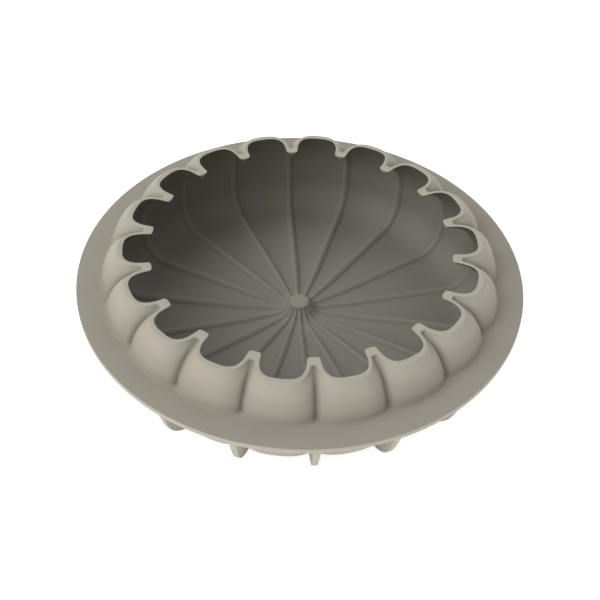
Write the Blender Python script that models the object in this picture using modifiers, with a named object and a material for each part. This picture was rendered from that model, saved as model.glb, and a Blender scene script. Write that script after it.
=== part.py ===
import math
from collections import namedtuple

import bmesh
import bpy

# A round fluted cake mould of silicone rubber, made as separate pieces that follow its moulded features.
# Lengths are metres. The mould stands on z = 0 on the feet of its fins, and its axis is the z axis.
# A petal is one hollow lobe of the cavity, and a ridge is the fold between two petals. Each ridge ends
# at the rim in a tab that points inward, with a groove behind it on the outside.

PETALS = 18

CAVITY_RADIUS = 0.0956
BRIM_WIDTH = 0.0117
BRIM_THICKNESS = 0.0028
BRIM_TOP = 0.0356
RIM_RISE = 0.0174

PETAL_WALL = 0.0027
RIDGE_WALL = 0.0024
GAP = 0.0003

CAVITY_LEAN = 0.0004
EQUATOR_DROP = 0.005
CORNER_RADIUS = 0.0162
FOOT_CLEARANCE = 0.001
RIM_INSET = 0.0095
COLLAR_REACH = 0.0081

TAB_LENGTH = 0.013
TAB_TIP_WIDTH = 0.0062
TAB_HEIGHT = 0.0035
TAB_LEAN = 0.0009
TAB_THICKNESS = 0.0047
GROOVE_END_WIDTH = 0.0034

FLUTE_DEPTH_CENTRE = 0.0008
FLUTE_DEPTH_FLOOR = 0.0028
FLUTE_DEPTH_WALL = 0.0043
FLOOR_CROWN = 0.0065
CROWN_REACH = 0.0109
PAD_MARGIN = 0.0002
PAD_EDGE = 0.0003

BOSS_RADIUS = 0.0054
BOSS_HEIGHT = 0.0017
BOSS_EDGE = 0.001

FIN_TOP_INSET = 0.0023
FIN_TOP_THICKNESS = 0.0038
FIN_FOOT_THICKNESS = 0.0021
FIN_STANDOFF = 0.0072
FIN_BEND_SHIFT = 0.0015
FIN_FOOT_CUT = 0.0003

# Plain numbers: how the curves are shaped and how finely the pieces are divided.
CROWN_POWER = 4.0
ROW_POWER = 2.5
FLUTE_POWER = 2.0
FLUTE_BULGE = 1.0
TAB_POWER = 3.9
TAB_BULGE = 2.2
GROOVE_POWER = 3.0
GROOVE_BULGE = 1.3
FLOOR_ROWS = 6
CORNER_ROWS = 4
COLLAR_ROWS = 5
FIN_BEND_STEPS = 8
BRIM_SEGMENTS = 144
BOSS_SEGMENTS = 36
BOSS_EDGE_STEPS = 3
MERGE_DISTANCE = 0.00001
SHARP_ANGLE = math.radians(35)
BOWL_COLUMNS = (0.25, 0.5, 0.75, 1.0)
COLLAR_COLUMNS = (0.12, 0.14, 0.2, 0.32, 0.5, 0.74, 1.0)

SILICONE = (0.36, 0.34, 0.29, 1.0)
SILICONE_ROUGHNESS = 0.55

# Places that follow from the sizes above.
PETAL_ANGLE = 2 * math.pi / PETALS
BRIM_RADIUS = CAVITY_RADIUS + PETAL_WALL + BRIM_WIDTH
RIM_TOP = BRIM_TOP + RIM_RISE
BRIM_UNDERSIDE = BRIM_TOP - BRIM_THICKNESS
EQUATOR = BRIM_TOP - EQUATOR_DROP
FLOOR = FOOT_CLEARANCE + PETAL_WALL
CORNER_CENTRE_RADIUS = CAVITY_RADIUS - CAVITY_LEAN - CORNER_RADIUS
CORNER_CENTRE = FLOOR + CORNER_RADIUS
FLOOR_CREST = FLOOR + FLUTE_DEPTH_FLOOR
PAD_RADIUS = BOSS_RADIUS + PAD_MARGIN
PAD_TOP = FLOOR_CREST + FLOOR_CROWN - FLUTE_DEPTH_CENTRE / 2
TAB_UNDERSIDE = RIM_TOP - TAB_HEIGHT
RIM_OPENING_RADIUS = CAVITY_RADIUS - RIM_INSET
PETAL_SWEEP_CENTRE = RIM_OPENING_RADIUS - COLLAR_REACH
PETAL_SWEEP = CAVITY_RADIUS - PETAL_SWEEP_CENTRE
TAB_TIP_RADIUS = RIM_OPENING_RADIUS - TAB_LENGTH
RIDGE_SWEEP_CENTRE = TAB_TIP_RADIUS + TAB_LEAN
RIDGE_SWEEP = CAVITY_RADIUS - FLUTE_DEPTH_WALL - RIDGE_SWEEP_CENTRE
RIDGE_RISE = TAB_UNDERSIDE - EQUATOR
GROOVE_END_RADIUS = TAB_TIP_RADIUS + TAB_THICKNESS
FIN_TOP_RADIUS = BRIM_RADIUS - FIN_TOP_INSET
FIN_BEND_RADIUS = CORNER_RADIUS + FIN_STANDOFF
FIN_BEND_CENTRE = CORNER_CENTRE_RADIUS + FIN_BEND_SHIFT
FIN_INNER_RADIUS = CORNER_CENTRE_RADIUS + GAP

# One level of the fluted wall: where its ridges and petals lie, as (radius, height), how wide the
# ridge is cut flat on each side of its middle, how soon the wall levels out towards the petal, and how
# steeply it leaves the ridge.
Level = namedtuple("Level", "ridge petal flat power bulge")


def blend(start, end, share):
    return start + (end - start) * share


def share_between(low, high, value):
    return min(max((value - low) / (high - low), 0.0), 1.0)


# The skins are distances outward from the cavity's surface: none on the inside of the mould, and the
# wall's thickness on its outside.
INSIDE = (0.0, 0.0)
OUTSIDE = (RIDGE_WALL, PETAL_WALL)
CLEAR_OF_OUTSIDE = (RIDGE_WALL + GAP, PETAL_WALL + GAP)


def pad_level(skins):
    top = PAD_TOP if skins == INSIDE else FLOOR_CREST - max(skins)
    rim = (PAD_RADIUS, top)
    return Level(rim, rim, 0.0, FLUTE_POWER, FLUTE_BULGE)


def floor_level(radius, skins):
    # The ridges run level and climb to the boss on the inside. Under the boss the floor is solid.
    ridge_skin, petal_skin = skins
    crest = FLOOR_CREST
    if skins == INSIDE:
        climb = 1 - share_between(PAD_RADIUS, PAD_RADIUS + CROWN_REACH, radius)
        crest += FLOOR_CROWN * climb ** CROWN_POWER
    share = share_between(PAD_RADIUS, CORNER_CENTRE_RADIUS, radius)
    valley = crest - blend(FLUTE_DEPTH_CENTRE, FLUTE_DEPTH_FLOOR, share)
    return Level((radius, crest - ridge_skin), (radius, valley - petal_skin), 0.0, FLUTE_POWER, FLUTE_BULGE)


def corner_level(share, skins):
    ridge_skin, petal_skin = skins
    angle = blend(-math.pi / 2, 0.0, share)
    depth = blend(FLUTE_DEPTH_FLOOR, FLUTE_DEPTH_WALL, share)
    points = []
    for reach in (CORNER_RADIUS - depth + ridge_skin, CORNER_RADIUS + petal_skin):
        points.append((CORNER_CENTRE_RADIUS + reach * math.cos(angle), CORNER_CENTRE + reach * math.sin(angle)))
    return Level(points[0], points[1], 0.0, FLUTE_POWER, FLUTE_BULGE)


def wall_level(height, skins):
    ridge_skin, petal_skin = skins
    lean = CAVITY_LEAN * (1 - share_between(CORNER_CENTRE, EQUATOR, height))
    petal = CAVITY_RADIUS - lean
    ridge = petal - FLUTE_DEPTH_WALL
    return Level((ridge + ridge_skin, height), (petal + petal_skin, height), 0.0, FLUTE_POWER, FLUTE_BULGE)


def ellipse_radius(centre, half_width, half_height, rise):
    return centre + half_width * math.sqrt(max(1 - (rise / half_height) ** 2, 0.0))


def petal_rise():
    # Half the height of the ellipse that runs from the equator up through the rim's opening.
    reach = COLLAR_REACH / PETAL_SWEEP
    return (RIM_TOP - EQUATOR) / math.sqrt(1 - reach ** 2)


def collar_level(height, skins):
    ridge_skin, petal_skin = skins
    rise = height - EQUATOR
    climb = share_between(BRIM_TOP, RIM_TOP, height)
    nose = share_between(TAB_UNDERSIDE, RIM_TOP, height)
    petal = ellipse_radius(PETAL_SWEEP_CENTRE, PETAL_SWEEP, petal_rise(), rise) + petal_skin
    if skins == INSIDE:
        ridge = ellipse_radius(RIDGE_SWEEP_CENTRE, RIDGE_SWEEP, RIDGE_RISE, rise) - TAB_LEAN * nose
        flat = TAB_TIP_WIDTH / 2 * nose
        power = blend(FLUTE_POWER, TAB_POWER, climb)
        bulge = blend(FLUTE_BULGE, TAB_BULGE, climb)
    else:
        behind = ellipse_radius(RIDGE_SWEEP_CENTRE, RIDGE_SWEEP + ridge_skin, RIDGE_RISE + ridge_skin, rise)
        ridge = max(behind, GROOVE_END_RADIUS)
        flat = GROOVE_END_WIDTH / 2 * nose
        power = blend(FLUTE_POWER, GROOVE_POWER, climb)
        bulge = blend(FLUTE_BULGE, GROOVE_BULGE, climb)
    return Level((ridge, height), (petal, height), flat, power, bulge)


def floor_levels(skins):
    # The rows close up towards the boss, where the floor climbs.
    outer = CORNER_CENTRE_RADIUS - GAP / 2
    levels = [pad_level(skins)]
    for row in range(FLOOR_ROWS + 1):
        share = (row / FLOOR_ROWS) ** ROW_POWER
        levels.append(floor_level(blend(PAD_RADIUS + PAD_EDGE, outer, share), skins))
    return levels


def bowl_levels(skins, top):
    levels = [floor_level(CORNER_CENTRE_RADIUS + GAP / 2, skins)]
    for row in range(1, CORNER_ROWS + 1):
        levels.append(corner_level(row / CORNER_ROWS, skins))
    levels.append(wall_level(EQUATOR, skins))
    levels.append(collar_level(top, skins))
    return levels


def collar_levels(skins, bottom):
    # The rows close up towards the tab's underside, where the ridge turns flat.
    behind_tab = GROOVE_END_RADIUS - RIDGE_SWEEP_CENTRE
    groove_floor = (RIDGE_RISE + RIDGE_WALL) * math.sqrt(1 - (behind_tab / (RIDGE_SWEEP + RIDGE_WALL)) ** 2)
    levels = []
    for row in range(COLLAR_ROWS + 1):
        height = blend(bottom, TAB_UNDERSIDE, math.sin(math.pi / 2 * row / COLLAR_ROWS))
        levels.append(collar_level(height, skins))
    levels.append(collar_level(EQUATOR + groove_floor, skins))
    levels.append(collar_level(RIM_TOP, skins))
    return levels


def half_petal(level, columns):
    # Points from a ridge to the middle of its petal, as (radius, height, angle from the ridge).
    half_width = level.petal[0] * math.sin(PETAL_ANGLE / 2)
    start = max(level.flat, columns[0] * half_width)
    points = [(level.ridge[0], level.ridge[1], 0.0)]
    for column in columns:
        across = blend(start, half_width, share_between(columns[0], 1.0, column))
        reach = share_between(level.flat, half_width, across)
        turn = (1 - (1 - reach) ** level.power) ** (1 / level.bulge)
        radius = blend(level.ridge[0], level.petal[0], turn)
        height = blend(level.ridge[1], level.petal[1], turn)
        points.append((radius, height, math.asin(across / radius)))
    return points


def fluted_ring(level, columns):
    half = half_petal(level, columns)
    ring = []
    for petal in range(PETALS):
        ridge_angle = petal * PETAL_ANGLE
        for radius, height, angle in half:
            ring.append((radius, height, ridge_angle + angle))
        for radius, height, angle in half[-2:0:-1]:
            ring.append((radius, height, ridge_angle + PETAL_ANGLE - angle))
    return [(radius * math.cos(angle), radius * math.sin(angle), height) for radius, height, angle in ring]


def add_object(name, mesh, collection, material=None):
    piece = bpy.data.objects.new(name, mesh)
    collection.objects.link(piece)
    if material:
        mesh.materials.append(material)
    return piece


def mesh_from(shape, name):
    bmesh.ops.recalc_face_normals(shape, faces=shape.faces)
    mesh = bpy.data.meshes.new(name)
    shape.to_mesh(mesh)
    shape.free()
    mesh.shade_smooth()
    mesh.set_sharp_from_angle(angle=SHARP_ANGLE)
    return mesh


def loft(name, levels, columns, closed):
    # A closed loft returns to its first ring, and an open one is capped flat at both ends.
    shape = bmesh.new()
    rings = []
    for level in levels:
        rings.append([shape.verts.new(point) for point in fluted_ring(level, columns)])
    pairs = list(zip(rings, rings[1:]))
    if closed:
        pairs.append((rings[-1], rings[0]))
    else:
        shape.faces.new(rings[0])
        shape.faces.new(rings[-1])
    for lower, upper in pairs:
        for index in range(len(lower)):
            following = (index + 1) % len(lower)
            shape.faces.new((lower[index], lower[following], upper[following], upper[index]))
    return mesh_from(shape, name)


def build_floor(collection, material):
    levels = floor_levels(OUTSIDE) + floor_levels(INSIDE)[::-1]
    mesh = loft("cavity_floor", levels, BOWL_COLUMNS, closed=False)
    add_object("cavity_floor", mesh, collection, material)


def build_lower_wall(collection, material):
    top = BRIM_UNDERSIDE - GAP
    levels = bowl_levels(INSIDE, top) + bowl_levels(OUTSIDE, top)[::-1]
    mesh = loft("lower_wall", levels, BOWL_COLUMNS, closed=True)
    add_object("lower_wall", mesh, collection, material)


def build_upper_wall(collection, material):
    levels = collar_levels(INSIDE, BRIM_UNDERSIDE) + collar_levels(OUTSIDE, BRIM_UNDERSIDE)[::-1]
    mesh = loft("upper_wall", levels, COLLAR_COLUMNS, closed=True)
    add_object("upper_wall", mesh, collection, material)


def build_cutter(collection):
    # The outside of the whole fluted wall, grown by the gap, for the pieces that stand against it.
    levels = bowl_levels(CLEAR_OF_OUTSIDE, BRIM_UNDERSIDE - GAP)
    levels += collar_levels(CLEAR_OF_OUTSIDE, BRIM_UNDERSIDE)
    levels.insert(0, pad_level(CLEAR_OF_OUTSIDE))
    cutter = add_object("fluted_cutter", loft("fluted_cutter", levels, COLLAR_COLUMNS, closed=False), collection)
    cutter.hide_render = True
    cutter.display_type = "WIRE"
    return cutter


def cut(piece, cutter):
    modifier = piece.modifiers.new("clear_of_wall", "BOOLEAN")
    modifier.operation = "DIFFERENCE"
    modifier.solver = "EXACT"
    modifier.object = cutter


def build_brim(collection, material, cutter):
    shape = bmesh.new()
    bmesh.ops.create_cone(shape, cap_ends=True, segments=BRIM_SEGMENTS, radius1=BRIM_RADIUS,
                          radius2=BRIM_RADIUS, depth=BRIM_THICKNESS)
    brim = add_object("rim_flange", mesh_from(shape, "rim_flange"), collection, material)
    brim.location.z = BRIM_TOP - BRIM_THICKNESS / 2
    cut(brim, cutter)


def build_boss(collection, material):
    bottom = PAD_TOP + GAP
    top = PAD_TOP + BOSS_HEIGHT
    shape = bmesh.new()
    profile = [(0.0, top)]
    for step in range(BOSS_EDGE_STEPS + 1):
        angle = math.pi / 2 * (1 - step / BOSS_EDGE_STEPS)
        radius = BOSS_RADIUS - BOSS_EDGE + BOSS_EDGE * math.cos(angle)
        profile.append((radius, top - BOSS_EDGE + BOSS_EDGE * math.sin(angle)))
    profile.append((BOSS_RADIUS, bottom))
    profile.append((0.0, bottom))
    corners = [shape.verts.new((radius, 0.0, height)) for radius, height in profile]
    for start, end in zip(corners, corners[1:]):
        shape.edges.new((start, end))
    mesh = bpy.data.meshes.new("centre_boss")
    shape.to_mesh(mesh)
    shape.free()
    boss = add_object("centre_boss", mesh, collection, material)
    turn = boss.modifiers.new("turn", "SCREW")
    turn.steps = BOSS_SEGMENTS
    turn.render_steps = BOSS_SEGMENTS
    turn.use_merge_vertices = True
    turn.merge_threshold = MERGE_DISTANCE


def fin_outline():
    # The fin's edge runs straight from the brim, bends round under the bowl and ends in a flat foot.
    top = BRIM_UNDERSIDE - GAP
    bend_height = FIN_BEND_RADIUS - FIN_FOOT_CUT
    across = FIN_TOP_RADIUS - FIN_BEND_CENTRE
    up = top - bend_height
    start = math.atan2(up, across) - math.acos(FIN_BEND_RADIUS / math.hypot(across, up))
    end = -math.asin(bend_height / FIN_BEND_RADIUS)
    outline = [(FIN_TOP_RADIUS, top)]
    for step in range(FIN_BEND_STEPS + 1):
        angle = blend(start, end, step / FIN_BEND_STEPS)
        radius = FIN_BEND_CENTRE + FIN_BEND_RADIUS * math.cos(angle)
        outline.append((radius, bend_height + FIN_BEND_RADIUS * math.sin(angle)))
    outline.append((FIN_INNER_RADIUS, 0.0))
    outline.append((FIN_INNER_RADIUS, top))
    return outline


def fin_mesh():
    shape = bmesh.new()
    corners = [shape.verts.new((radius, -0.5, height)) for radius, height in fin_outline()]
    face = shape.faces.new(corners)
    grown = bmesh.ops.extrude_face_region(shape, geom=[face])
    moved = [item for item in grown["geom"] if isinstance(item, bmesh.types.BMVert)]
    bmesh.ops.translate(shape, vec=(0.0, 1.0, 0.0), verts=moved)
    # The sides lie one metre apart here and are drawn in to the fin's thickness at each height.
    for vertex in shape.verts:
        share = share_between(0.0, BRIM_UNDERSIDE - GAP, vertex.co.z)
        vertex.co.y *= blend(FIN_FOOT_THICKNESS, FIN_TOP_THICKNESS, share)
    return mesh_from(shape, "support_fin")


def build_fins(collection, material, cutter):
    mesh = fin_mesh()
    mesh.materials.append(material)
    for index in range(PETALS):
        fin = add_object("support_fin_%02d" % (index + 1), mesh, collection)
        fin.rotation_euler.z = index * PETAL_ANGLE
        cut(fin, cutter)


def silicone(name):
    material = bpy.data.materials.new(name)
    material.use_nodes = True
    shader = material.node_tree.nodes["Principled BSDF"]
    shader.inputs["Base Color"].default_value = SILICONE
    shader.inputs["Roughness"].default_value = SILICONE_ROUGHNESS
    shader.inputs["Metallic"].default_value = 0.0
    material.diffuse_color = SILICONE
    return material


def new_collection(name):
    collection = bpy.data.collections.new(name)
    bpy.context.scene.collection.children.link(collection)
    return collection


def build():
    for leftover in list(bpy.data.objects):
        bpy.data.objects.remove(leftover, do_unlink=True)
    mould = new_collection("silicone_cake_mould")
    cutters = new_collection("cutters")
    cutter = build_cutter(cutters)
    build_floor(mould, silicone("floor_silicone"))
    build_lower_wall(mould, silicone("lower_wall_silicone"))
    build_upper_wall(mould, silicone("upper_wall_silicone"))
    build_brim(mould, silicone("brim_silicone"), cutter)
    build_boss(mould, silicone("boss_silicone"))
    build_fins(mould, silicone("fin_silicone"), cutter)


build()
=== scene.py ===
import math

import bmesh
import bpy
from mathutils import Matrix, Vector


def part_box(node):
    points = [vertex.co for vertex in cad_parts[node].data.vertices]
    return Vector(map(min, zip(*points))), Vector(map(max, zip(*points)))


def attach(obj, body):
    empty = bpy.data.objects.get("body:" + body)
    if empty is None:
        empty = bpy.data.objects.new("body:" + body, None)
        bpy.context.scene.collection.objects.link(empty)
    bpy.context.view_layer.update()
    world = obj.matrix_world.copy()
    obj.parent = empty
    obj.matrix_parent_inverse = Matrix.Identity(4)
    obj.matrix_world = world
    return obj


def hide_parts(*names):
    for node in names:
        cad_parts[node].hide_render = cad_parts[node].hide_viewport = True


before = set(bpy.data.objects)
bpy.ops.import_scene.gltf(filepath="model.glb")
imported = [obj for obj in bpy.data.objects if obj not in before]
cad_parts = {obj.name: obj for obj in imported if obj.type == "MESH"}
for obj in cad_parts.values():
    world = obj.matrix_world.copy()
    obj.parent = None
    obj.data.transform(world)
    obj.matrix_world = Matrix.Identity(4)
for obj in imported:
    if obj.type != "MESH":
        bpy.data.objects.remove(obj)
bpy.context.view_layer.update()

# A fluted cake mould of grey silicone rubber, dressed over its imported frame. All is in metres.
# A petal is one lobe of the cavity. A ridge is the fold between two petals, and ends at the rim
# in a tab.

brimLow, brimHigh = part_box("rim_flange")
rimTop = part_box("upper_wall")[1].z
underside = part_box("cavity_floor")[0].z
bossLow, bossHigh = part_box("centre_boss")
print("frame loaded, the mould is", round(2 * brimHigh.x, 4), "m across")


# Small helpers

weldReach = 1e-6                  # corners closer than this are merged


def mix(start, end, share):
    return start + (end - start) * share


def shareOf(value, low, high):
    return min(max((value - low) / (high - low), 0.0), 1.0)


def steps(count):
    return [step / count for step in range(1, count + 1)]


def newPiece(shape, name, sharpAngle=50):
    bmesh.ops.remove_doubles(shape, verts=shape.verts, dist=weldReach)
    bmesh.ops.recalc_face_normals(shape, faces=shape.faces)
    mesh = bpy.data.meshes.new(name)
    shape.to_mesh(mesh)
    shape.free()
    mesh.shade_smooth()
    mesh.set_sharp_from_angle(angle=math.radians(sharpAngle))
    piece = bpy.data.objects.new(name, mesh)
    bpy.context.scene.collection.objects.link(piece)
    return piece


def finishPiece(piece, materials, *nodes):
    for material in materials:
        piece.data.materials.append(material)
    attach(piece, "root")
    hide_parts(*nodes)


# The bowl: one skin from the middle of the floor, over the rim, out to the brim and back beneath

bowl = {
    "petals": 18,
    "cavityRadius": 0.0956,       # a petal's widest reach, a little below the brim
    "cavityLean": 0.0004,         # how much the wall leans in from there to its round corner
    "equatorDrop": 0.005,         # how far below the brim's top the petals are widest
    "cornerRadius": 0.0162,
    "petalWall": 0.0027,
    "ridgeWall": 0.0024,
    "padRadius": 0.0056,          # the floor's middle, under the boss
    "crownReach": 0.0109,         # the ridges climb to it over this length
    "floorCrown": 0.0055,
    "floorDome": 0.001,           # how much higher the whole floor is at its middle
    "centreDepth": 0.0009,        # the petals' depth below the ridges, from the middle out
    "floorDepth": 0.0028,
    "wallDepth": 0.0043,
    "rimInset": 0.0095,           # from the widest reach in to the rim between two tabs
    "collarReach": 0.0081,        # from there in to the middle of the collar's curve
    "tabLength": 0.013,
    "tabWidth": 0.0062,
    "tabHeight": 0.0035,
    "tabLean": 0.0009,
    "tabThickness": 0.0047,
    "noseDepth": 0.0012,          # the tab's blunt end, matt like the rim
    "grooveFloor": 0.0017,        # from the tab's underside up to the floor of the groove behind it
    "grooveWidth": 0.0004,
    "grooveEndWidth": 0.0034,
    "rimEdge": 0.0003,            # the rounding along both edges of the rim
    "brimFillet": 0.0016,
    "underFillet": 0.0015,
    "seamRadius": 0.1025,         # where the flat brim ring takes over
    "beadWidth": 0.0044,          # the raised bead along each ridge of the cavity
    "beadHeight": 0.001,
    "beadCrowd": 0.45,            # the most of half a petal that a bead covers, near the boss
    "ridgeSoft": 0.0005,          # half the width over which each fold is rounded off
    "tabSoft": 0.0022,
    "grooveSoft": 0.0012,
    "crownPower": 4.0,
    "petalPower": 2.0,            # how soon the wall levels out from ridge to petal
    "tabPower": 3.9,
    "lobePower": 2.6,
    "groovePower": 3.0,
    "petalBulge": 1.0,            # and how steeply it leaves the ridge
    "tabBulge": 2.2,
    "lobeBulge": 1.8,
    "grooveBulge": 1.5,
    "creaseReach": 0.0015,        # painted shade: how far the darkening in the bottoms of the grooves reaches to each side
    "grooveShadeTone": -0.32,            # how much darker it makes them
    "grooveShadeFoot": 0.001,            # it fades out over this height at the brim
    "grooveShadeTop": 0.0015,            # and from here to here below the rim
    "grooveShadeEnd": 0.0003,
    "beadTone": 0.12,             # the beads are paler
    "beadFade": 0.3,              # how softly that ends at a bead's sides
    "crownPaintedLight": 0.28,            # painted light: the floor round the boss is painted paler, to lift the shade beside it
    "lipPaintedTone": 0.055,             # painted highlight: the rim is painted paler
    "lipPaintedShade": -0.09,            # painted shade: a faint dark line painted just outside the rim
    "lipDrop": 0.0008,            # how far below the rim it runs
    "lipReach": 0.0005,
    "columns": 25,                # how finely half a petal is divided across
    "bendWeight": 0.003,          # columns crowd together where the path bends
    "pathSteps": 160,             # how finely a fold is drawn before it is divided
    "floorStart": 0.8,            # the floor's first row, as a share of the boss's radius
    "floorRows": 22,              # how finely the inside is divided along, from the middle out
    "cornerRows": 10,
    "collarRows": 15,
    "tabRows": 4,
    "edgeRows": 4,
    "lobeRows": 16,               # and the outside, from the rim down
    "filletRows": 6,
    "underFilletRows": 4,
    "outerCornerRows": 8,
    "outerFloorRows": 6,
}

petalAngle = 2 * math.pi / bowl["petals"]
midAngle = petalAngle / 2
brimTop = brimHigh.z
brimUnder = brimLow.z
equator = brimTop - bowl["equatorDrop"]
floorLevel = underside + bowl["petalWall"]
cornerAxis = bowl["cavityRadius"] - bowl["cavityLean"] - bowl["cornerRadius"]
cornerLevel = floorLevel + bowl["cornerRadius"]
rimOpening = bowl["cavityRadius"] - bowl["rimInset"]
collarAxis = rimOpening - bowl["collarReach"]
tabTip = rimOpening - bowl["tabLength"]
tabUnder = rimTop - bowl["tabHeight"]
ridgeAxis = tabTip + bowl["tabLean"]


def makeRow(ridge, petal, soft=0.0, flat=0.0, climb=0.0, skin=0, grow=0.0, sunk=1.0):
    if skin:
        power = mix(bowl["lobePower"], bowl["groovePower"], climb)
        bulge = mix(bowl["lobeBulge"], bowl["grooveBulge"], climb)
    else:
        power = mix(bowl["petalPower"], bowl["tabPower"], climb)
        bulge = mix(bowl["petalBulge"], bowl["tabBulge"], climb)
    bead = 0 if skin else bowl["beadHeight"] * (1 - climb)
    return {"ridge": ridge, "petal": petal, "flat": flat, "power": power, "bulge": bulge,
            "soft": soft, "grow": grow, "bead": bead, "sunk": sunk}


def floorRow(radius, skin):       # skin is 0 on the inside of the wall and 1 on its outside
    share = shareOf(radius, bowl["padRadius"], cornerAxis)
    crest = floorLevel + bowl["floorDepth"] + bowl["floorDome"] * (1 - share ** 2)
    if not skin:
        near = 1 - shareOf(radius, bowl["padRadius"], bowl["padRadius"] + bowl["crownReach"])
        crest += bowl["floorCrown"] * near ** bowl["crownPower"]
    valley = crest - mix(bowl["centreDepth"], bowl["floorDepth"], share)
    soft = min(bowl["ridgeSoft"], radius * midAngle / 4)
    return makeRow((radius, crest - skin * bowl["ridgeWall"]),
                   (radius, valley - skin * bowl["petalWall"]), soft, skin=skin, sunk=0)


def cornerRow(share, skin):
    angle = mix(-math.pi / 2, 0, share)
    depth = mix(bowl["floorDepth"], bowl["wallDepth"], share)
    points = []
    for reach in (bowl["cornerRadius"] - depth + skin * bowl["ridgeWall"],
                  bowl["cornerRadius"] + skin * bowl["petalWall"]):
        points.append((cornerAxis + reach * math.cos(angle), cornerLevel + reach * math.sin(angle)))
    return makeRow(points[0], points[1], bowl["ridgeSoft"], skin=skin, sunk=share)


def wallRow(height, skin):
    lean = bowl["cavityLean"] * (1 - shareOf(height, cornerLevel, equator))
    petal = bowl["cavityRadius"] - lean
    ridge = petal - bowl["wallDepth"]
    return makeRow((ridge + skin * bowl["ridgeWall"], height),
                   (petal + skin * bowl["petalWall"], height), bowl["ridgeSoft"], skin=skin)


def ellipseRadius(axis, halfWidth, halfHeight, rise):
    return axis + halfWidth * math.sqrt(max(1 - (rise / halfHeight) ** 2, 0))


def collarRow(height, skin, grow=0.0):
    rise = height - equator
    climb = shareOf(height, brimTop, rimTop)
    nose = shareOf(height, tabUnder, rimTop)
    petalSweep = bowl["cavityRadius"] - collarAxis
    petalRise = (rimTop - equator) / math.sqrt(1 - (bowl["collarReach"] / petalSweep) ** 2)
    petal = ellipseRadius(collarAxis, petalSweep, petalRise, rise) + skin * bowl["petalWall"]
    ridgeSweep = bowl["cavityRadius"] - bowl["wallDepth"] - ridgeAxis + skin * bowl["ridgeWall"]
    ridgeRise = tabUnder - equator + skin * bowl["grooveFloor"]
    ridge = ellipseRadius(ridgeAxis, ridgeSweep, ridgeRise, rise)
    if skin:
        ridge = ridgeAxis + math.hypot(ridge - ridgeAxis, tabTip + bowl["tabThickness"] - ridgeAxis)
        flat = mix(bowl["grooveWidth"], bowl["grooveEndWidth"], nose) / 2
        soft = bowl["grooveSoft"]
    else:
        ridge -= bowl["tabLean"] * nose
        flat = bowl["tabWidth"] / 2 * nose
        soft = mix(bowl["ridgeSoft"], bowl["tabSoft"], climb)
    return makeRow((ridge, height), (petal, height), soft, flat, climb, skin, grow)


def circleRow(radius, height):
    return makeRow((radius, height), (radius, height))


def insideRows():
    rows = [circleRow(0, floorRow(0, 0)["ridge"][1])]
    for share in [0] + steps(bowl["floorRows"]):     # closer together near the boss
        rows.append(floorRow(mix(bossHigh.x * bowl["floorStart"], cornerAxis, share ** 2), 0))
    for share in steps(bowl["cornerRows"]):
        rows.append(cornerRow(share, 0))
    rows.append(wallRow(mix(cornerLevel, equator, 0.5), 0))
    for share in [0] + steps(bowl["collarRows"]):
        rows.append(collarRow(mix(equator, tabUnder, math.sin(math.pi / 2 * share)), 0))
    for share in steps(bowl["tabRows"]):
        rows.append(collarRow(mix(tabUnder, rimTop - bowl["rimEdge"], share), 0))
    for share in steps(bowl["edgeRows"]):
        turn = math.pi / 2 * share
        height = rimTop - bowl["rimEdge"] * (1 - math.sin(turn))
        rows.append(collarRow(height, 0, grow=bowl["rimEdge"] * (1 - math.cos(turn))))
    return rows


def outsideRows():
    rows = []
    for share in reversed(steps(bowl["edgeRows"])):
        turn = math.pi / 2 * share
        height = rimTop - bowl["rimEdge"] * (1 - math.sin(turn))
        rows.append(collarRow(height, 1, grow=-bowl["rimEdge"] * (1 - math.cos(turn))))
    filletTop = brimTop + bowl["brimFillet"]
    for share in [0] + steps(bowl["lobeRows"]):      # closer together near the rim
        drop = 1 - math.cos(math.pi / 2 * share)
        rows.append(collarRow(mix(rimTop - bowl["rimEdge"], filletTop, drop), 1))
    for share in steps(bowl["filletRows"]):
        turn = math.pi / 2 * share
        height = brimTop + bowl["brimFillet"] * (1 - math.sin(turn))
        rows.append(collarRow(height, 1, grow=bowl["brimFillet"] * (1 - math.cos(turn))))
    rows.append(circleRow(bowl["seamRadius"], brimTop))
    rows.append(circleRow(bowl["seamRadius"], brimUnder))
    for share in reversed([0] + steps(bowl["underFilletRows"])):
        turn = math.pi / 2 * share
        height = brimUnder - bowl["underFillet"] * (1 - math.sin(turn))
        rows.append(collarRow(height, 1, grow=bowl["underFillet"] * (1 - math.cos(turn))))
    rows.append(wallRow(mix(cornerLevel, equator, 0.5), 1))
    for share in reversed([0] + steps(bowl["outerCornerRows"])):
        rows.append(cornerRow(share, 1))
    for share in reversed(steps(bowl["outerFloorRows"])):
        rows.append(floorRow(mix(bossHigh.x / 2, cornerAxis, share), 1))
    rows.append(circleRow(0, floorRow(0, 1)["ridge"][1]))
    return rows


def mirrored(point, angle):       # in the upright plane through the axis at this angle
    swing, lift = math.cos(2 * angle), math.sin(2 * angle)
    return Vector((point.x * swing + point.y * lift, point.x * lift - point.y * swing, point.z))


def foldPath(row):                # from the ridge, at angle 0, to the middle of the petal
    halfWidth = row["petal"][0] * math.sin(midAngle)
    depth = (Vector(row["ridge"]) - Vector(row["petal"])).length
    beadHalf = min(bowl["beadWidth"] / 2, halfWidth * bowl["beadCrowd"])
    bead = row["bead"] * beadHalf / bowl["beadWidth"] * 2 / depth
    path = []
    for step in range(bowl["pathSteps"] + 1):
        across = halfWidth * step / bowl["pathSteps"]
        share = shareOf(across, row["flat"], halfWidth)
        turn = (1 - (1 - share) ** row["power"]) ** (1 / row["bulge"])
        hump = math.sqrt(1 - shareOf(across, 0, beadHalf) ** 2)
        turn = mix(turn, 1, bead * row["sunk"]) - bead * hump
        radius = mix(row["ridge"][0], row["petal"][0], turn)
        height = mix(row["ridge"][1], row["petal"][1], turn)
        path.append(Vector((math.sqrt(radius ** 2 - across ** 2), across, height)))
    return path


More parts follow.
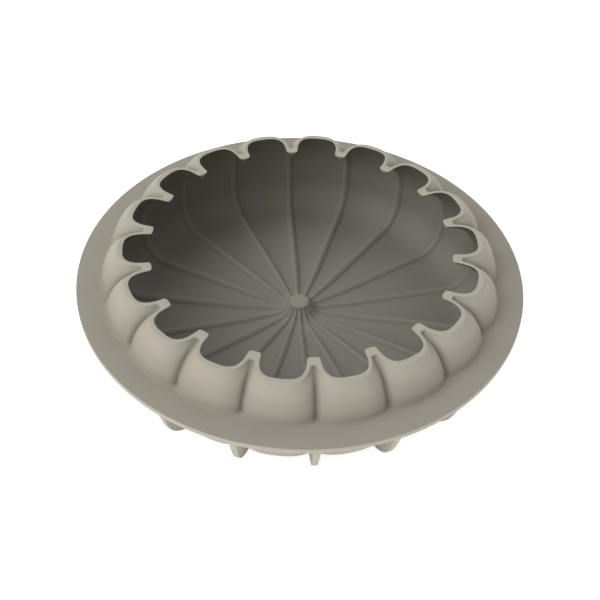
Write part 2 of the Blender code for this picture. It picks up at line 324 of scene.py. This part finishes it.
# The path moved away from the axis, square to itself, and cut off at the ridge
def grownPath(path, grow):
    before = [mirrored(path[1], 0)] + path[:-1]
    after = path[1:] + [mirrored(path[-2], midAngle)]
    grown = []
    for point, last, following in zip(path, before, after):
        along = (following - last).normalized()
        grown.append(point + grow * Vector((along.y, -along.x, 0)))
    crossing = max((place for place, point in enumerate(grown) if point.y < 0), default=None)
    if crossing is None:
        return grown
    low, high = grown[crossing], grown[crossing + 1]
    return [low.lerp(high, -low.y / (high.y - low.y))] + grown[crossing + 1:]


# The path in count equal shares of its length, or closer together where it bends
def resampled(path, count, bendWeight=0.0):
    weights = []
    for place in range(len(path) - 1):
        here = path[place + 1] - path[place]
        last = path[place] - path[max(place - 1, 0)]
        bend = here.angle(last, 0.0)
        weights.append(here.length + bendWeight * bend)
    total = sum(weights)
    points, place, passed = [path[0]], 0, 0.0
    for step in range(1, count):
        wanted = total * step / count
        while passed + weights[place] < wanted:
            passed += weights[place]
            place += 1
        points.append(path[place].lerp(path[place + 1], (wanted - passed) / weights[place]))
    return points + [path[-1]]


def softPath(path, reach):        # each point is the mean of the path within reach of it
    even = resampled(path, len(path) - 1)
    spacing = sum((b - a).length for a, b in zip(even, even[1:])) / (len(even) - 1)
    width = min(round(reach / spacing), len(even) // 2)
    lead = [mirrored(point, 0) for point in even[width:0:-1]]
    tail = [mirrored(point, midAngle) for point in even[-2:-2 - width:-1]]
    longer = lead + even + tail
    spans = [longer[place:place + 2 * width + 1] for place in range(len(even))]
    return [sum(span, Vector()) / len(span) for span in spans]


def rowPoints(row):
    if row["ridge"] == row["petal"]:
        radius, height = row["ridge"]
        turns = [midAngle * share for share in [0] + steps(bowl["columns"])]
        return [Vector((radius * math.cos(turn), radius * math.sin(turn), height))
                for turn in turns]
    path = foldPath(row)
    if row["grow"]:
        path = grownPath(path, row["grow"])
    path = softPath(path, row["soft"])
    return resampled(path, bowl["columns"], bowl["bendWeight"])


# How much paler the rubber is at a point, where 0 is plain and below 0 is darker. These are painted
# highlights and painted shade, and paler beads

# a painted highlight on the rim, and a painted shade line just below it on the outside
def lipPaintedTone(point):
    rim = shareOf(point.z, rimTop - bowl["rimEdge"], rimTop)
    line = 1 - shareOf(abs(rimTop - bowl["lipDrop"] - point.z), 0, bowl["lipReach"])
    return bowl["lipPaintedTone"] * rim + bowl["lipPaintedShade"] * line


def paintedGrooveShade(point):            # painted shade: the bottoms of the grooves above the brim are painted darker
    foot = shareOf(point.z, brimTop, brimTop + bowl["grooveShadeFoot"])
    top = shareOf(point.z, rimTop - bowl["grooveShadeEnd"], rimTop - bowl["grooveShadeTop"])
    return bowl["grooveShadeTone"] * foot * top * math.exp(-(point.y / bowl["creaseReach"]) ** 2)


# painted light on the floor round the boss, and paler beads along the ridges
def cavityTone(point):
    fade = 1 - shareOf(point.z, equator, rimTop)
    radius = max(point.xy.length, bossHigh.x / 2)    # what lies nearer is under the boss
    reach = min(bowl["beadWidth"] / 2, radius * math.sin(midAngle) * bowl["beadCrowd"])
    bead = 1 - shareOf(point.y, reach * (1 - bowl["beadFade"]), reach * (1 + bowl["beadFade"]))
    near = 1 - shareOf(radius, bowl["padRadius"], bowl["padRadius"] + bowl["crownReach"])
    return bowl["beadTone"] * fade * bead + bowl["crownPaintedLight"] * near


# Half a petal from a flat grid, one grid row for each row of points, then mirrored and spun round

def buildBowl():
    inner = [rowPoints(row) for row in insideRows()]
    rows = inner + [rowPoints(row) for row in outsideRows()]
    last = len(rows) - 1
    rimStart = len(inner) - bowl["edgeRows"]         # the first row of the rim's rounded edge
    shape = bmesh.new()
    tone = shape.verts.layers.float.new("tone")
    bmesh.ops.create_grid(shape, x_segments=bowl["columns"], y_segments=last, size=1)
    for face in shape.faces:
        row = (face.calc_center_median().y + 1) / 2 * last
        # the cavity's faces take the second material, whose darker colour is painted shade
        face.material_index = 1 if row < rimStart - 1 else 0
    for vert in shape.verts:
        column = round((vert.co.x + 1) / 2 * bowl["columns"])
        row = round((vert.co.y + 1) / 2 * last)
        vert.co = rows[row][column]
        # painted tones: a painted highlight and shade line at the rim, painted shade in the
        # grooves, painted light round the boss, and paler beads
        if row >= len(inner):
            vert[tone] = paintedGrooveShade(vert.co) + lipPaintedTone(vert.co)
        elif row >= rimStart:
            vert[tone] = lipPaintedTone(vert.co)
        else:
            vert[tone] = cavityTone(vert.co)
    for face in shape.faces:
        middle = face.calc_center_median()
        if middle.z > tabUnder and middle.xy.length < ridgeAxis + bowl["noseDepth"]:
            face.material_index = 0
    half = shape.verts[:] + shape.edges[:] + shape.faces[:]
    bmesh.ops.mirror(shape, geom=half, axis="Y", merge_dist=weldReach)
    petal = shape.verts[:] + shape.edges[:] + shape.faces[:]
    bmesh.ops.spin(shape, geom=petal, cent=(0, 0, 0), axis=(0, 0, 1), use_duplicate=True,
                   angle=2 * math.pi - petalAngle, steps=bowl["petals"] - 1)
    return newPiece(shape, "mouldShell")


# The flat brim, a plain turned ring

brim = {
    "edge": 0.0002,
    "edgeSteps": 3,
}


def buildBrim():
    shape = bmesh.new()
    corners = []
    for radius, height in ((bowl["seamRadius"], brimTop), (brimHigh.x, brimTop),
                           (brimHigh.x, brimUnder), (bowl["seamRadius"], brimUnder)):
        corners.append(shape.verts.new((radius, 0, height)))
    sides = [shape.edges.new((corners[place - 1], corners[place])) for place in range(4)]
    bmesh.ops.spin(shape, geom=corners + sides, cent=(0, 0, 0), axis=(0, 0, 1), angle=2 * math.pi,
                   steps=2 * bowl["petals"] * bowl["columns"], use_merge=True)
    rims = [edge for edge in shape.edges
            if all(vert.co.xy.length > brimHigh.x - brim["edge"] for vert in edge.verts)
            and abs(edge.verts[0].co.z - edge.verts[1].co.z) < brim["edge"]]
    bmesh.ops.bevel(shape, geom=rims, offset=brim["edge"], offset_type="OFFSET", affect="EDGES",
                    segments=brim["edgeSteps"], profile=0.5, material=-1)
    return newPiece(shape, "brimRing")


# The boss in the middle of the floor

boss = {
    "edge": 0.0016,
    "edgeSteps": 6,
    "sunk": 0.0016,               # how far its foot reaches into the floor
    "turnSteps": 72,
}


def buildBoss():
    shape = bmesh.new()
    low = bossLow.z - boss["sunk"]
    bmesh.ops.create_cone(shape, cap_ends=True, segments=boss["turnSteps"], radius1=bossHigh.x,
                          radius2=bossHigh.x, depth=bossHigh.z - low)
    bmesh.ops.translate(shape, vec=(0, 0, (bossHigh.z + low) / 2), verts=shape.verts)
    topEdges = [edge for edge in shape.edges
                if all(vert.co.z > bossHigh.z - weldReach for vert in edge.verts)]
    bmesh.ops.bevel(shape, geom=topEdges, offset=boss["edge"], offset_type="OFFSET", affect="EDGES",
                    segments=boss["edgeSteps"], profile=0.5, material=-1)
    return newPiece(shape, "centreBoss")


# The fins that the mould stands on, one under each ridge

fin = {
    "topInset": 0.0023,           # from the brim's edge in to the fin
    "topWidth": 0.0038,
    "footWidth": 0.0021,
    "standoff": 0.0072,           # how much wider the bend is than the bowl's corner inside it
    "bendShift": 0.0015,
    "footCut": 0.0003,
    "rooted": 0.0008,             # how far it reaches into the brim and the wall
    "bendSteps": 14,
    "wallSteps": 8,
    "edge": 0.0003,
    "edgeSteps": 3,
    "edgeAngle": 60,              # only corners sharper than this are rounded
    "sharpAngle": 40,
}


def finOuterEdge():
    top = brimUnder + fin["rooted"]
    outerRadius = brimHigh.x - fin["topInset"]
    bend = bowl["cornerRadius"] + fin["standoff"]
    axis = cornerAxis + fin["bendShift"]
    axisHeight = bend - fin["footCut"]
    across, up = outerRadius - axis, brimUnder - axisHeight
    start = math.atan2(up, across) - math.acos(bend / math.hypot(across, up))
    end = -math.asin(axisHeight / bend)
    edge = [(outerRadius, top), (outerRadius, brimUnder)]
    for share in [0] + steps(fin["bendSteps"]):
        angle = mix(start, end, share)
        edge.append((axis + bend * math.cos(angle), axisHeight + bend * math.sin(angle)))
    edge.append((cornerAxis, 0))
    return edge


def finInnerEdge():
    edge = []
    for share in [0] + steps(fin["wallSteps"]):
        radius, height = cornerRow(share, 1)["ridge"]
        lift = mix(-math.pi / 2, 0, share)
        edge.append((radius - fin["rooted"] * math.cos(lift),
                     height - fin["rooted"] * math.sin(lift)))
    top = wallRow(equator, 1)["ridge"][0] - fin["rooted"]
    edge.append((top, equator))
    edge.append((top, brimUnder + fin["rooted"]))
    return edge


def buildFin(index):
    shape = bmesh.new()
    outline = finOuterEdge() + finInnerEdge()
    side = shape.faces.new([shape.verts.new((radius, -0.5, height)) for radius, height in outline])
    grown = bmesh.ops.extrude_face_region(shape, geom=[side])
    moved = [item for item in grown["geom"] if isinstance(item, bmesh.types.BMVert)]
    bmesh.ops.translate(shape, vec=(0, 1, 0), verts=moved)
    for vert in shape.verts:      # the sides are drawn in to the fin's width at each height
        vert.co.y *= mix(fin["footWidth"], fin["topWidth"], vert.co.z / brimUnder)
    bmesh.ops.recalc_face_normals(shape, faces=shape.faces)
    rims = []
    for edge in shape.edges:
        if len(edge.link_faces) == 2 and edge.calc_face_angle() > math.radians(fin["edgeAngle"]):
            middle = (edge.verts[0].co + edge.verts[1].co) / 2
            if middle.z < brimUnder - 1e-4:
                rims.append(edge)
    bmesh.ops.bevel(shape, geom=rims, offset=fin["edge"], offset_type="OFFSET", affect="EDGES",
                    segments=fin["edgeSteps"], profile=0.5, material=-1)
    turn = Matrix.Rotation(index * petalAngle, 3, "Z")
    bmesh.ops.rotate(shape, cent=(0, 0, 0), matrix=turn, verts=shape.verts)
    return newPiece(shape, "supportFin%02d" % (index + 1), fin["sharpAngle"])


# The rubber

rubber = {
    "matt": (0.479, 0.445, 0.376),     # the outside, with a fine grain on it
    "smoothShaded": (0.304, 0.286, 0.244),   # painted shade: the cavity's colour, a darker copy of the rubber standing for the shade inside; its grain is also fainter
    "cloudScale": 45,                  # faint clouds in the colour and the sheen
    "cloudDetail": 4,
    "mottle": 0.95,                    # how dark they are
    "duller": 0.06,                    # and how much duller and glossier the sheen gets
    "glossier": 0.04,
    "mattRoughness": 0.6,
    "smoothRoughness": 0.6,
    "gloss": 0.3,
    "bend": 1.41,                      # silicone rubber's index of refraction
    "grainScale": 1400,
    "grainDetail": 2,
    "grainDepth": 0.00002,
    "mattGrain": 0.25,                 # how strongly the grain shows
    "smoothGrain": 0.1,
    "bossMatt": 0.5,                   # the boss is half way between the two finishes, so half of the cavity's painted shade is in its colour
    "paintedLightFrom": 0.045,                 # painted light: the matt rubber is painted paler above this height
    "paintedLightAtRim": 1.3,                    # and this much paler at the rim
}


def rubberMaterial(name, matt):        # matt is 1 for the outside's finish and 0 for the cavity's, whose darker colour is painted shade
    material = bpy.data.materials.new(name)
    material.use_nodes = True
    nodes, links = material.node_tree.nodes, material.node_tree.links
    shader = nodes["Principled BSDF"]
    shader.inputs["IOR"].default_value = rubber["bend"]
    shader.inputs["Specular IOR Level"].default_value = rubber["gloss"]
    colour = [mix(low, high, matt) for low, high in zip(rubber["smoothShaded"], rubber["matt"])]
    roughness = mix(rubber["smoothRoughness"], rubber["mattRoughness"], matt)
    place = nodes.new("ShaderNodeTexCoord")
    cloud = nodes.new("ShaderNodeTexNoise")
    cloud.inputs["Scale"].default_value = rubber["cloudScale"]
    cloud.inputs["Detail"].default_value = rubber["cloudDetail"]
    tint = nodes.new("ShaderNodeMix")
    tint.data_type = "RGBA"
    tint.inputs["A"].default_value = [part * rubber["mottle"] for part in colour] + [1]
    tint.inputs["B"].default_value = colour + [1]
    gloss = nodes.new("ShaderNodeMapRange")
    gloss.inputs["To Min"].default_value = roughness - rubber["glossier"]
    gloss.inputs["To Max"].default_value = roughness + rubber["duller"]
    grain = nodes.new("ShaderNodeTexNoise")
    grain.inputs["Scale"].default_value = rubber["grainScale"]
    grain.inputs["Detail"].default_value = rubber["grainDetail"]
    bump = nodes.new("ShaderNodeBump")
    bump.inputs["Strength"].default_value = mix(rubber["smoothGrain"], rubber["mattGrain"], matt)
    bump.inputs["Distance"].default_value = rubber["grainDepth"]
    split = nodes.new("ShaderNodeSeparateXYZ")
    # painted light: the matt rubber is painted paler from a set height up to the rim
    paintedLight = nodes.new("ShaderNodeMapRange")
    paintedLight.inputs["From Min"].default_value = rubber["paintedLightFrom"]
    paintedLight.inputs["From Max"].default_value = rimTop
    paintedLight.inputs["To Min"].default_value = 1
    paintedLight.inputs["To Max"].default_value = mix(1, rubber["paintedLightAtRim"], matt)
    # the painted light and shade laid on the rubber, and the paler beads
    paintedTone = nodes.new("ShaderNodeAttribute")
    paintedTone.attribute_name = "tone"
    shade = nodes.new("ShaderNodeMath")
    shade.operation = "ADD"
    shade.inputs[1].default_value = 1
    factor = nodes.new("ShaderNodeMath")
    factor.operation = "MULTIPLY"
    tone = nodes.new("ShaderNodeVectorMath")
    tone.operation = "SCALE"
    links.new(place.outputs["Object"], split.inputs[0])
    links.new(split.outputs["Z"], paintedLight.inputs["Value"])
    links.new(paintedTone.outputs["Fac"], shade.inputs[0])
    links.new(paintedLight.outputs["Result"], factor.inputs[0])
    links.new(shade.outputs[0], factor.inputs[1])
    links.new(tint.outputs["Result"], tone.inputs[0])
    links.new(factor.outputs[0], tone.inputs["Scale"])
    links.new(place.outputs["Object"], cloud.inputs["Vector"])
    links.new(place.outputs["Object"], grain.inputs["Vector"])
    links.new(cloud.outputs["Fac"], tint.inputs["Factor"])
    links.new(cloud.outputs["Fac"], gloss.inputs["Value"])
    links.new(grain.outputs["Fac"], bump.inputs["Height"])
    links.new(tone.outputs["Vector"], shader.inputs["Base Color"])
    links.new(gloss.outputs["Result"], shader.inputs["Roughness"])
    links.new(bump.outputs["Normal"], shader.inputs["Normal"])
    return material


# Camera, light and floor

view = {
    "place": (0.02907, -0.37241, 0.38979),
    "down": 45.127,               # degrees below the horizon
    "turn": 4.4255,               # degrees round from looking along +Y
    "roll": 2.319,
    "lens": 62.09,
    "sensor": 36,
    "near": 0.01,
    "far": 100,
}


def buildCamera():
    camera = bpy.data.cameras.new("camera")
    camera.lens = view["lens"]
    camera.sensor_width = view["sensor"]
    camera.clip_start = view["near"]
    camera.clip_end = view["far"]
    holder = bpy.data.objects.new("camera", camera)
    turn = Matrix.Rotation(math.radians(view["turn"]), 4, "Z")
    tip = Matrix.Rotation(math.radians(90 - view["down"]), 4, "X")
    roll = Matrix.Rotation(math.radians(view["roll"]), 4, "Z")
    holder.matrix_world = Matrix.Translation(view["place"]) @ turn @ tip @ roll
    bpy.context.scene.collection.objects.link(holder)
    bpy.context.scene.camera = holder


studio = {
    "panels": (                   # degrees round from +X, degrees up, glow, sharpness
        (195, 45, 3.46, 20),
        (240, 35, 1.31, 8),
        (75, 60, 1.03, 8),
        (60, 35, 0.53, 8),
        (330, 10, 0.39, 8),
    ),
    "floorColour": (0.8, 0.8, 0.8, 1),
    "tableGlow": 1.13,            # the lit table under the mould, and how white it looks
    "tableWhite": 0.8,
    "shadowRadius": 0.09,         # under the mould the table is dark, out to here
    "shadowEdge": 0.13,
    "floorSize": 6,
}


def showsToCamera(nodes, links):  # 1 for what the camera sees, straight or by reflection
    path = nodes.new("ShaderNodeLightPath")
    plus = nodes.new("ShaderNodeMath")
    plus.operation = "MAXIMUM"
    both = nodes.new("ShaderNodeMath")
    both.operation = "MAXIMUM"
    links.new(path.outputs["Is Camera Ray"], plus.inputs[0])
    links.new(path.outputs["Is Glossy Ray"], plus.inputs[1])
    links.new(plus.outputs[0], both.inputs[0])
    links.new(path.outputs["Is Transmission Ray"], both.inputs[1])
    return both.outputs[0]


def buildWorld():
    world = bpy.data.worlds.new("studio")
    world.use_nodes = True
    bpy.context.scene.world = world
    nodes, links = world.node_tree.nodes, world.node_tree.links

    def maths(operation, value, number):
        node = nodes.new("ShaderNodeMath")
        node.operation = operation
        links.new(value, node.inputs[0])
        if isinstance(number, bpy.types.NodeSocket):
            links.new(number, node.inputs[1])
        else:
            node.inputs[1].default_value = number
        return node.outputs[0]

    place = nodes.new("ShaderNodeTexCoord")
    total = None
    for degreesRound, degreesUp, strength, sharpness in studio["panels"]:
        turn, lift = math.radians(degreesRound), math.radians(degreesUp)
        towards = nodes.new("ShaderNodeVectorMath")
        towards.operation = "DOT_PRODUCT"
        level = math.cos(lift)
        towards.inputs[1].default_value = (level * math.cos(turn), level * math.sin(turn),
                                           math.sin(lift))
        links.new(place.outputs["Generated"], towards.inputs[0])
        facing = maths("POWER", maths("MAXIMUM", towards.outputs["Value"], 0), sharpness)
        panel = maths("MULTIPLY", facing, strength)
        total = maths("ADD", panel, total) if total else panel
    glow = nodes["Background"]
    glow.inputs["Color"].default_value = (1, 1, 1, 1)
    links.new(total, glow.inputs["Strength"])
    white = nodes.new("ShaderNodeBackground")
    white.inputs["Color"].default_value = (1, 1, 1, 1)
    choice = nodes.new("ShaderNodeMixShader")
    links.new(showsToCamera(nodes, links), choice.inputs["Fac"])
    links.new(glow.outputs[0], choice.inputs[1])
    links.new(white.outputs[0], choice.inputs[2])
    links.new(choice.outputs[0], nodes["World Output"].inputs["Surface"])


def buildFloor():
    shape = bmesh.new()
    bmesh.ops.create_grid(shape, x_segments=1, y_segments=1, size=studio["floorSize"] / 2)
    floor = newPiece(shape, "floor")
    material = bpy.data.materials.new("paleFloor")
    material.use_nodes = True
    nodes, links = material.node_tree.nodes, material.node_tree.links
    shader = nodes["Principled BSDF"]
    shader.inputs["Base Color"].default_value = studio["floorColour"]
    shader.inputs["Roughness"].default_value = 1
    shader.inputs["Specular IOR Level"].default_value = 0
    shader.inputs["Emission Color"].default_value = (1, 1, 1, 1)
    glow = nodes.new("ShaderNodeMapRange")
    glow.inputs["To Max"].default_value = studio["tableWhite"]
    place = nodes.new("ShaderNodeTexCoord")
    away = nodes.new("ShaderNodeVectorMath")
    away.operation = "LENGTH"
    lit = nodes.new("ShaderNodeMapRange")
    lit.inputs["From Min"].default_value = studio["shadowRadius"]
    lit.inputs["From Max"].default_value = studio["shadowEdge"]
    lit.inputs["To Max"].default_value = studio["tableGlow"]
    links.new(place.outputs["Object"], away.inputs[0])
    links.new(away.outputs["Value"], lit.inputs["Value"])
    links.new(lit.outputs["Result"], glow.inputs["To Min"])
    links.new(showsToCamera(nodes, links), glow.inputs["Value"])
    links.new(glow.outputs["Result"], shader.inputs["Emission Strength"])
    floor.data.materials.append(material)


def main():
    matt = rubberMaterial("mattSilicone", 1)
    smoothShaded = rubberMaterial("smoothShadedSilicone", 0)
    between = rubberMaterial("bossSilicone", rubber["bossMatt"])
    print("rubber mixed")
    shell = buildBowl()
    finishPiece(shell, [matt, smoothShaded], "cavity_floor", "lower_wall", "upper_wall")
    print("bowl made,", len(shell.data.polygons), "faces")
    finishPiece(buildBrim(), [matt], "rim_flange")
    print("brim made")
    finishPiece(buildBoss(), [between], "centre_boss")
    print("boss made")
    for index in range(bowl["petals"]):
        finishPiece(buildFin(index), [matt], "support_fin_%02d" % (index + 1))
    print("fins made")
    buildCamera()
    buildWorld()
    buildFloor()
    bpy.context.scene.view_settings.view_transform = "Standard"
    print("camera, light and floor set")


main()
